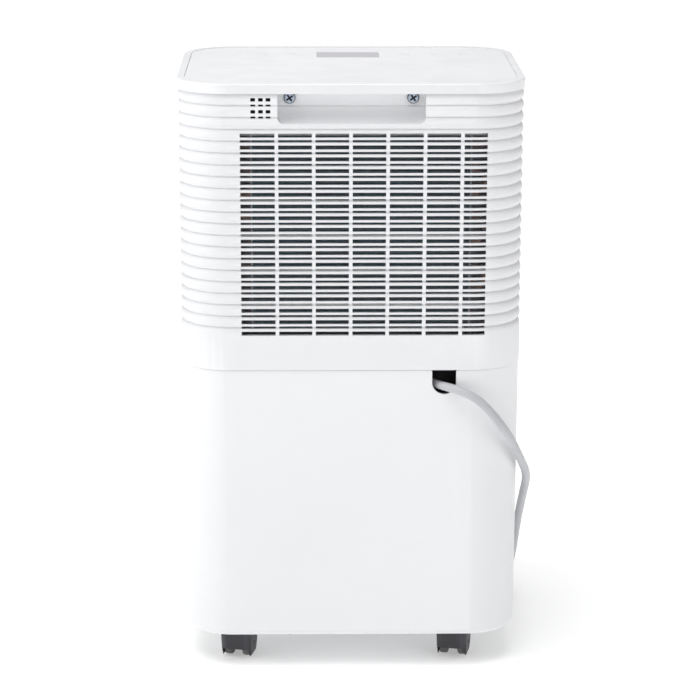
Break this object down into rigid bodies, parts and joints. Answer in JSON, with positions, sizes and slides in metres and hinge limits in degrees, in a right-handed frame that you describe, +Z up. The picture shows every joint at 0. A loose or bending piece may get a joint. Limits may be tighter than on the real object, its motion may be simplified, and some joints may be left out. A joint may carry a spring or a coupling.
{
  "type": "compressor dehumidifier",
  "caption": "Free-standing compressor dehumidifier on casters: ribbed white body with a slotted intake, touch panel on top and a tank that slides out.",
  "frame": {"origin": "on the floor under the middle of the body", "axes": "+Z up, +Y towards the front where the tank slides out, the air intake and the cord are on the -Y back, +X to the right seen from the back"},
  "size_m": [0.2933, 0.3465, 0.492],
  "materials": {
    "white_shell": "fine satin",
    "white_panel": "satin",
    "display_lens": "tinted, glossy",
    "circuit_board": "solder resist",
    "grey_plastic": "matte",
    "screw_steel": "zinc plated",
    "tray_foam": "matte",
    "filter_plastic": "matte",
    "filter_net": "woven thread",
    "coated_fins": "blue-green coating",
    "bare_fins": "mill finish",
    "copper": "copper tube, dull",
    "zinc_plate": "zinc plated",
    "motor_paint": "satin",
    "shaft_steel": "ground",
    "impeller_plastic": "matte",
    "black_paint": "satin",
    "black_rubber": "matte",
    "black_plastic": "matte",
    "capacitor_case": "smooth",
    "wire_cover": "smooth",
    "grey_cord": "smooth",
    "plug_brass": "nickel plated",
    "tank_plastic": "translucent",
    "float_foam": "closed foam",
    "charcoal_plastic": "satin",
    "wheel_plastic": "matte tread"
  },
  "bodies": {
    "cabinet": {"upper_rear_cover": "white_shell", "upper_front_cover": "white_shell", "top_cover": "white_shell", "control_panel": "white_panel", "display_window": "display_lens", "display_board": "circuit_board", "lower_housing": "white_shell", "base_pan": "grey_plastic", "base_screws": "screw_steel", "bay_partition": "grey_plastic", "chassis_deck": "grey_plastic", "drip_tray": "tray_foam", "filter_frame": "filter_plastic", "filter_mesh": "filter_net", "evaporator_fins": "coated_fins", "evaporator_tubes": "copper", "condenser_fins": "bare_fins", "condenser_tubes": "copper", "coil_end_plates": "zinc_plate", "fan_shroud": "grey_plastic", "motor_bracket": "grey_plastic", "fan_motor": "motor_paint", "compressor": "black_paint", "compressor_grommets": "black_rubber", "compressor_bolts": "screw_steel", "terminal_cover": "black_plastic", "accumulator": "black_paint", "accumulator_strap": "black_paint", "discharge_pipe": "copper", "suction_pipe": "copper", "filter_drier": "copper", "capillary_tube": "copper", "control_box": "grey_plastic", "main_board": "circuit_board", "run_capacitor": "capacitor_case", "humidity_sensor": "black_plastic", "compressor_wires": "wire_cover", "handle_screws": "screw_steel", "cord_gland": "black_plastic", "strain_relief": "grey_cord", "power_cord": "grey_cord", "cord_coil": "grey_cord", "plug_lead": "grey_cord", "plug_body": "grey_cord", "plug_pins": "plug_brass"},
    "tank": {"tank_front_panel": "white_shell", "level_window": "display_lens", "water_tank": "tank_plastic", "tank_lid": "white_shell"},
    "float": {"tank_float": "float_foam"},
    "fan": {"fan_impeller": "impeller_plastic", "fan_shaft": "shaft_steel"},
    "caster_rear_left": {"caster_hood_rear_left": "charcoal_plastic"},
    "wheels_rear_left": {"caster_wheels_rear_left": "wheel_plastic"},
    "caster_rear_right": {"caster_hood_rear_right": "charcoal_plastic"},
    "wheels_rear_right": {"caster_wheels_rear_right": "wheel_plastic"},
    "caster_front_left": {"caster_hood_front_left": "charcoal_plastic"},
    "wheels_front_left": {"caster_wheels_front_left": "wheel_plastic"},
    "caster_front_right": {"caster_hood_front_right": "charcoal_plastic"},
    "wheels_front_right": {"caster_wheels_front_right": "wheel_plastic"}
  },
  "joints": [
    {"name": "tank_slide", "type": "slide", "parent": "cabinet", "child": "tank", "axis": [0, 1, 0], "range_m": [0, 0.11]},
    {"name": "float_swing", "type": "hinge", "parent": "tank", "child": "float", "pos_m": [-0.122, 0.0515, 0.184], "axis": [0, -1, 0], "range_deg": [0, 18]},
    {"name": "fan_spin", "type": "hinge", "parent": "cabinet", "child": "fan", "pos_m": [0.008, -0.02, 0.369], "axis": [0, 1, 0], "continuous": true},
    {"name": "swivel_rear_left", "type": "hinge", "parent": "cabinet", "child": "caster_rear_left", "pos_m": [-0.091, -0.063, 0.03], "axis": [0, 0, 1], "continuous": true},
    {"name": "roll_rear_left", "type": "hinge", "parent": "caster_rear_left", "child": "wheels_rear_left", "pos_m": [-0.0937, -0.07469, 0.011], "axis": [0.9744, -0.225, 0], "continuous": true},
    {"name": "swivel_rear_right", "type": "hinge", "parent": "cabinet", "child": "caster_rear_right", "pos_m": [0.091, -0.063, 0.03], "axis": [0, 0, 1], "continuous": true},
    {"name": "roll_rear_right", "type": "hinge", "parent": "caster_rear_right", "child": "wheels_rear_right", "pos_m": [0.0883, -0.07469, 0.011], "axis": [0.9744, -0.225, 0], "continuous": true},
    {"name": "swivel_front_left", "type": "hinge", "parent": "cabinet", "child": "caster_front_left", "pos_m": [-0.091, 0.063, 0.03], "axis": [0, 0, 1], "continuous": true},
    {"name": "roll_front_left", "type": "hinge", "parent": "caster_front_left", "child": "wheels_front_left", "pos_m": [-0.0937, 0.05131, 0.011], "axis": [0.9744, -0.225, 0], "continuous": true},
    {"name": "swivel_front_right", "type": "hinge", "parent": "cabinet", "child": "caster_front_right", "pos_m": [0.091, 0.063, 0.03], "axis": [0, 0, 1], "continuous": true},
    {"name": "roll_front_right", "type": "hinge", "parent": "caster_front_right", "child": "wheels_front_right", "pos_m": [0.0883, 0.05131, 0.011], "axis": [0.9744, -0.225, 0], "continuous": true}
  ]
}
